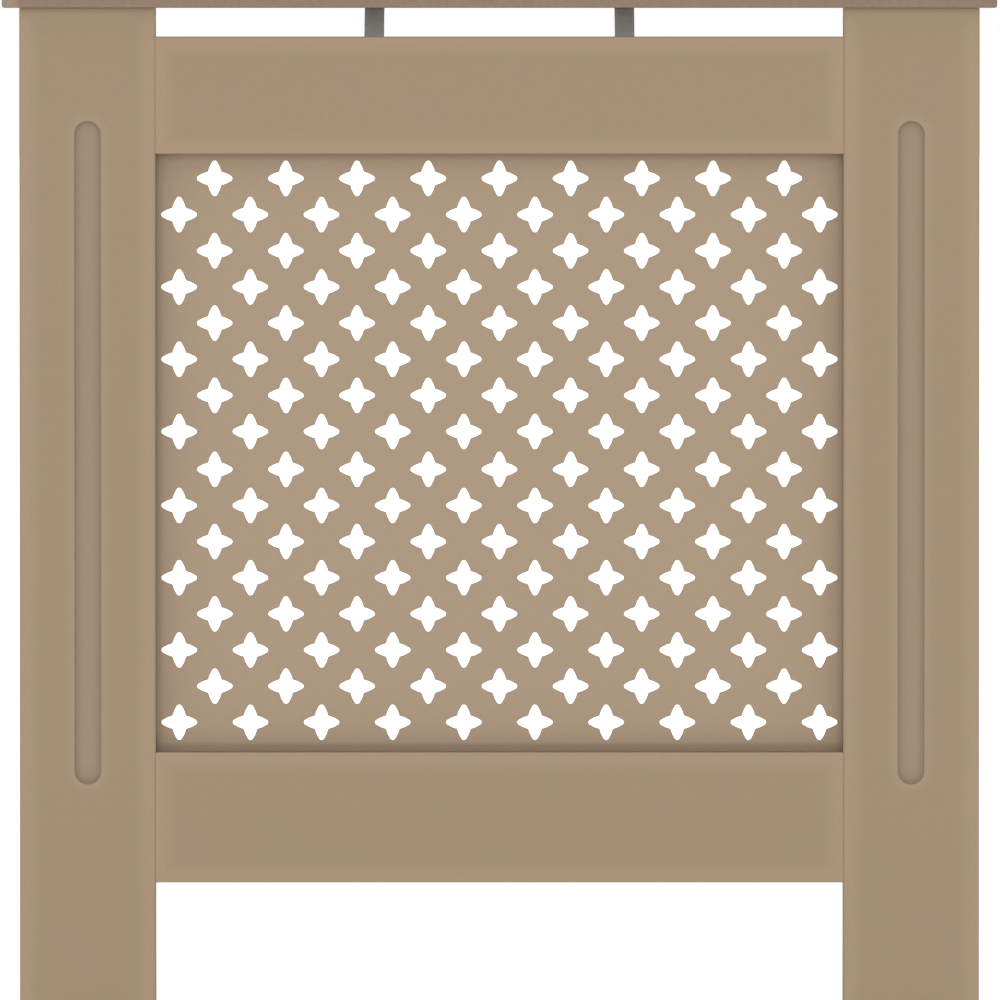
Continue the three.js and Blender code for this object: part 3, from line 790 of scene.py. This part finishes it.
def make_pierced_panel():
    low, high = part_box("grille_panel")
    thickness = high.y - low.y
    values = {"Width": high.x - low.x, "Height": high.z - low.z, "Thickness": thickness,
              "Hole pitch": HOLE_PITCH, "Row pitch": ROW_PITCH, "Middle step": MIDDLE_STEP,
              "Rise": PATTERN_RISE, "Rows": ROWS, "Holes in a long row": LONG_ROW, "Material": PIERCED_MDF}
    mesh = run_tree(piercing_tree(), hole_wall(thickness), values)
    lift = Matrix.Translation((0, 0, (low.z + high.z) / 2 + PATTERN_RISE))
    mesh.transform(lift @ facing_front(high.y))
    dress(new_piece("pierced_panel", mesh, PIERCED_MDF), "pierced_mdf", "grille_panel")


# ---------------------------------------------------------------- steel strips

def strip_tree():
    """Bends a flat strip with softened edges along a route drawn in the XY plane."""
    sizes = {name: "NodeSocketFloat" for name in ("Width", "Thickness", "Bend radius", "Edge ease")}
    sizes |= {"Bend steps": "NodeSocketInt", "Material": "NodeSocketMaterial"}
    tree, size, leave = new_tree("bent_strip", sizes)
    route = node(tree, "GeometryNodeMeshToCurve", {"Mesh": size["Geometry"]}).outputs[0]
    bent = node(tree, "GeometryNodeFilletCurve", {"Curve": route, "Count": size["Bend steps"],
                "Radius": size["Bend radius"], "Limit Radius": True}, mode="POLY").outputs[0]
    upright = node(tree, "GeometryNodeSetCurveNormal", {"Curve": bent}, mode="Z_UP").outputs[0]
    section = node(tree, "GeometryNodeCurvePrimitiveQuadrilateral",
                   {"Width": size["Thickness"], "Height": size["Width"]}).outputs[0]
    section = node(tree, "GeometryNodeFilletCurve", {"Curve": section, "Count": STRIP_EASE_STEPS,
                   "Radius": size["Edge ease"], "Limit Radius": True}, mode="POLY").outputs[0]
    strip = node(tree, "GeometryNodeCurveToMesh",
                 {"Curve": upright, "Profile Curve": section, "Fill Caps": True}).outputs[0]
    close_tree(tree, leave, strip, size["Material"])
    return tree


def bent_strip(tree, name, route, placing, width, thickness, bend, material):
    """Runs the strip tree along a route of (across, up) points and puts the strip in its place."""
    source = bpy.data.meshes.new("route")
    source.from_pydata([(x, y, 0) for x, y in route], [(i, i + 1) for i in range(len(route) - 1)], [])
    values = {"Width": width, "Thickness": thickness, "Bend radius": bend, "Edge ease": STRIP_EASE,
              "Bend steps": BEND_STEPS, "Material": material}
    mesh = run_tree(tree, source, values)
    mesh.transform(placing)
    return new_piece(name, mesh, material)


def make_straps(tree):
    route = [(y * MM, z * MM) for y, z in STRAP_ROUTE]
    for side in ("left", "right"):
        low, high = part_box(side + "_strap")
        across = Matrix(((0, 0, 1, (low.x + high.x) / 2), (1, 0, 0, 0), (0, 1, 0, 0), (0, 0, 0, 1)))
        piece = bent_strip(tree, side + "_strap_steel", route, across, STRAP_WIDTH, STRAP_THICKNESS,
                           STRAP_BEND, GREY_STEEL)
        dress(piece, "grey_steel", side + "_strap")


def bore(piece, centre, axis, radius, length):
    """Drills a plain hole through the piece."""
    build = bmesh.new()
    turn = Vector((0, 0, 1)).rotation_difference(Vector(axis)).to_matrix().to_4x4()
    bmesh.ops.create_cone(build, cap_ends=True, segments=BORE_SIDES, radius1=radius, radius2=radius,
                          depth=length, matrix=Matrix.Translation(centre) @ turn)
    drill_mesh = bpy.data.meshes.new("drill")
    build.to_mesh(drill_mesh)
    build.free()
    drill = bpy.data.objects.new("drill", drill_mesh)
    bpy.context.scene.collection.objects.link(drill)
    cutter = piece.modifiers.new("bore", "BOOLEAN")
    cutter.object = drill
    cutter.solver = "EXACT"
    graph = bpy.context.evaluated_depsgraph_get()
    mesh = bpy.data.meshes.new_from_object(piece.evaluated_get(graph))
    piece.modifiers.clear()
    piece.data = mesh
    bpy.data.objects.remove(drill)


def make_brackets(tree):
    """Angle plates inside the cabinet: stile to side panel, side panel to board, side panel to wall."""
    reach = BRACKET_LEG - BRACKET_THICKNESS / 2
    half = BRACKET_THICKNESS / 2
    route = [(reach + half, half), (half, half), (half, reach + half)]
    for node_name in sorted(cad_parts):
        if "bracket" not in node_name:
            continue
        low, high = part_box(node_name)
        middle = (low + high) / 2
        side = 1 if "right" in node_name else -1
        corner_x = high.x if side > 0 else low.x
        if node_name.startswith("board"):
            axes = (-side, 0, 0, corner_x), (0, 0, 1, middle.y), (0, -1, 0, high.z), (0, 0, 0, 1)
        else:
            facing = -1 if node_name.startswith("wall") else 1
            corner_y = high.y if facing < 0 else low.y
            axes = (-side, 0, 0, corner_x), (0, facing, 0, corner_y), (0, 0, 1, middle.z), (0, 0, 0, 1)
        piece = bent_strip(tree, node_name + "_plate", route, Matrix(axes), BRACKET_WIDTH, BRACKET_THICKNESS,
                           BRACKET_BEND, ZINC)
        if node_name.startswith("wall"):
            centre = Vector((corner_x - side * BRACKET_HOLE_REACH, high.y - half, middle.z))
            bore(piece, centre, (0, 1, 0), BRACKET_HOLE_RADIUS, 4 * BRACKET_THICKNESS)
        dress(piece, "zinc_plate", node_name)


# ---------------------------------------------------------------- screws and pins

def scaled(tree, geometry, scale, translation=(0, 0, 0)):
    inputs = {"Geometry": geometry, "Scale": scale, "Translation": translation}
    return node(tree, "GeometryNodeTransform", inputs).outputs[0]


def stand_on_points(tree, size, leave, fixing, spin=None):
    """Ends a tree with the fixing on each of the source's points, along its "out", turned by the spin."""
    out = node(tree, "GeometryNodeInputNamedAttribute", {"Name": "out"}, data_type="FLOAT_VECTOR").outputs[0]
    stood = node(tree, "FunctionNodeAlignRotationToVector", {"Vector": out}, axis="Z").outputs[0]
    if spin is not None:
        stood = node(tree, "FunctionNodeRotateRotation", {"Rotation": stood, "Rotate By": spin},
                     rotation_space="LOCAL").outputs[0]
    points = node(tree, "GeometryNodeMeshToPoints", {"Mesh": size["Geometry"]}).outputs[0]
    placed = node(tree, "GeometryNodeInstanceOnPoints",
                  {"Points": points, "Instance": fixing, "Rotation": stood}).outputs[0]
    close_tree(tree, leave, placed, size["Material"])


def fixing_tree():
    """Pan-head screws with a cross recess."""
    names = ("Head radius", "Head height", "Shank radius", "Shank length",
             "Recess span", "Recess slot", "Recess depth")
    sizes = {name: "NodeSocketFloat" for name in names}
    sizes |= {"Seed": "NodeSocketInt", "Material": "NodeSocketMaterial"}
    tree, size, leave = new_tree("screws", sizes)
    ball = node(tree, "GeometryNodeMeshUVSphere", {"Segments": 28, "Rings": 18, "Radius": 1.0}).outputs[0]
    x, y, z = parts_of(tree, tree.nodes.new("GeometryNodeInputPosition").outputs[0])
    squares = maths(tree, "ADD", maths(tree, "MULTIPLY", x, x), maths(tree, "MULTIPLY", y, y))
    across = maths(tree, "SQRT", squares)
    fuller = maths(tree, "POWER", maths(tree, "MAXIMUM", across, 0.001), HEAD_FULLNESS)
    crown = maths(tree, "POWER", maths(tree, "MAXIMUM", z, 0.0), HEAD_CROWN)
    shaped = triple(tree, maths(tree, "MULTIPLY", x, fuller), maths(tree, "MULTIPLY", y, fuller), crown)
    head = node(tree, "GeometryNodeSetPosition", {"Geometry": ball, "Position": shaped}).outputs[0]
    head = scaled(tree, head, triple(tree, size["Head radius"], size["Head radius"], size["Head height"]))
    head = node(tree, "GeometryNodeMergeByDistance", {"Geometry": head, "Distance": HEAD_WELD}).outputs[0]
    cube = node(tree, "GeometryNodeMeshCube", {"Size": (1, 1, 1)}).outputs[0]
    sunk = triple(tree, 0.0, 0.0, size["Head height"])
    deep = maths(tree, "MULTIPLY", size["Recess depth"], 2.0)
    first = scaled(tree, cube, triple(tree, size["Recess span"], size["Recess slot"], deep), sunk)
    second = scaled(tree, cube, triple(tree, size["Recess slot"], size["Recess span"], deep), sunk)
    cutting = tree.nodes.new("GeometryNodeMeshBoolean")
    cutting.operation = "DIFFERENCE"
    cutting.solver = "EXACT"
    tree.links.new(head, cutting.inputs["Mesh 1"])
    tree.links.new(first, cutting.inputs["Mesh 2"])
    tree.links.new(second, cutting.inputs["Mesh 2"])
    shank_inputs = {"Vertices": 16, "Radius Top": size["Shank radius"], "Radius Bottom": SCREW_TIP_RADIUS,
                    "Depth": size["Shank length"]}
    shank = node(tree, "GeometryNodeMeshCone", shank_inputs).outputs[0]
    below = maths(tree, "MULTIPLY", size["Shank length"], -1.0)
    shank = scaled(tree, shank, (1, 1, 1), triple(tree, 0.0, 0.0, below))
    screw = join_geometry(tree, cutting.outputs["Mesh"], shank)
    chance = tree.nodes.new("FunctionNodeRandomValue")
    tree.links.new(size["Seed"], chance.inputs["Seed"])
    chance.inputs[3].default_value = math.pi / 2  # the greatest turn
    spin = node(tree, "FunctionNodeAxisAngleToRotation",
                {"Axis": (0, 0, 1), "Angle": chance.outputs[1]}).outputs[0]
    stand_on_points(tree, size, leave, screw, spin)
    return tree


def points_mesh(places):
    """A mesh of loose points, each with its outward direction as "out"."""
    mesh = bpy.data.meshes.new("places")
    mesh.from_pydata([place for place, _ in places], [], [])
    out = mesh.attributes.new("out", "FLOAT_VECTOR", "POINT")
    for index, (_, direction) in enumerate(places):
        out.data[index].vector = direction
    return mesh


def make_screws():
    """One piece for all the screws: each stands where its CAD screw stands, head inwards."""
    names = sorted(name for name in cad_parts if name.startswith("screw_"))
    places, length = [], 0
    for name in names:
        low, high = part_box(name)
        size = high - low
        axis = max(range(3), key=lambda i: size[i])
        length = size[axis]
        place = (low + high) / 2
        driven = 1 if axis == 2 or (axis == 0 and place.x > 0) else -1
        out = Vector((0, 0, 0))
        out[axis] = -driven
        place += out * (length / 2 - SCREW_HEAD_HEIGHT)
        places.append((place, out))
    values = {"Head radius": SCREW_HEAD_RADIUS, "Head height": SCREW_HEAD_HEIGHT,
              "Shank radius": SCREW_SHANK_RADIUS, "Shank length": length - SCREW_HEAD_HEIGHT,
              "Recess span": RECESS_SPAN, "Recess slot": RECESS_SLOT, "Recess depth": RECESS_DEPTH,
              "Seed": SCREW_SEED, "Material": ZINC}
    mesh = run_tree(fixing_tree(), points_mesh(places), values)
    dress(new_piece("screws", mesh, ZINC, smooth_below=40), "zinc_plate", *names)


def pin_tree():
    """Low domed pin heads."""
    sizes = {"Radius": "NodeSocketFloat", "Proud": "NodeSocketFloat", "Material": "NodeSocketMaterial"}
    tree, size, leave = new_tree("panel_pins", sizes)
    ball = node(tree, "GeometryNodeMeshUVSphere", {"Segments": 16, "Rings": 8, "Radius": 1.0}).outputs[0]
    head = scaled(tree, ball, triple(tree, size["Radius"], size["Radius"], size["Proud"]))
    stand_on_points(tree, size, leave, head)
    return tree


def make_pins():
    """Pins along the backs of the battens."""
    places = []
    for place in ("top", "bottom", "left", "right"):
        low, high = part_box("grille_batten_" + place)
        run = 0 if place in ("top", "bottom") else 2
        middle = (low + high) / 2
        count = round((high[run] - low[run]) / PIN_SPACING)
        step = (high[run] - low[run]) / count
        for index in range(count):
            spot = Vector((middle.x, high.y, middle.z))
            spot[run] = low[run] + step * (index + 0.5)
            places.append((spot, (0, 1, 0)))
    values = {"Radius": PIN_RADIUS, "Proud": PIN_PROUD, "Material": ZINC}
    mesh = run_tree(pin_tree(), points_mesh(places), values)
    dress(new_piece("batten_pins", mesh, ZINC, smooth_below=60), "zinc_plate")


def finish_dowels():
    """Gives the dowels, which stay as they came, their wood."""
    for name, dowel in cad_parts.items():
        if name.startswith("dowel_"):
            for slot in dowel.material_slots:
                slot.material = BEECH


# ---------------------------------------------------------------- the whole cabinet

set_camera()
set_light()
lay_floor()
make_frame_boards()
make_side_panels()
make_top_board()
make_battens()
make_pierced_panel()
strips = strip_tree()
make_straps(strips)
make_brackets(strips)
make_screws()
make_pins()
finish_dowels()
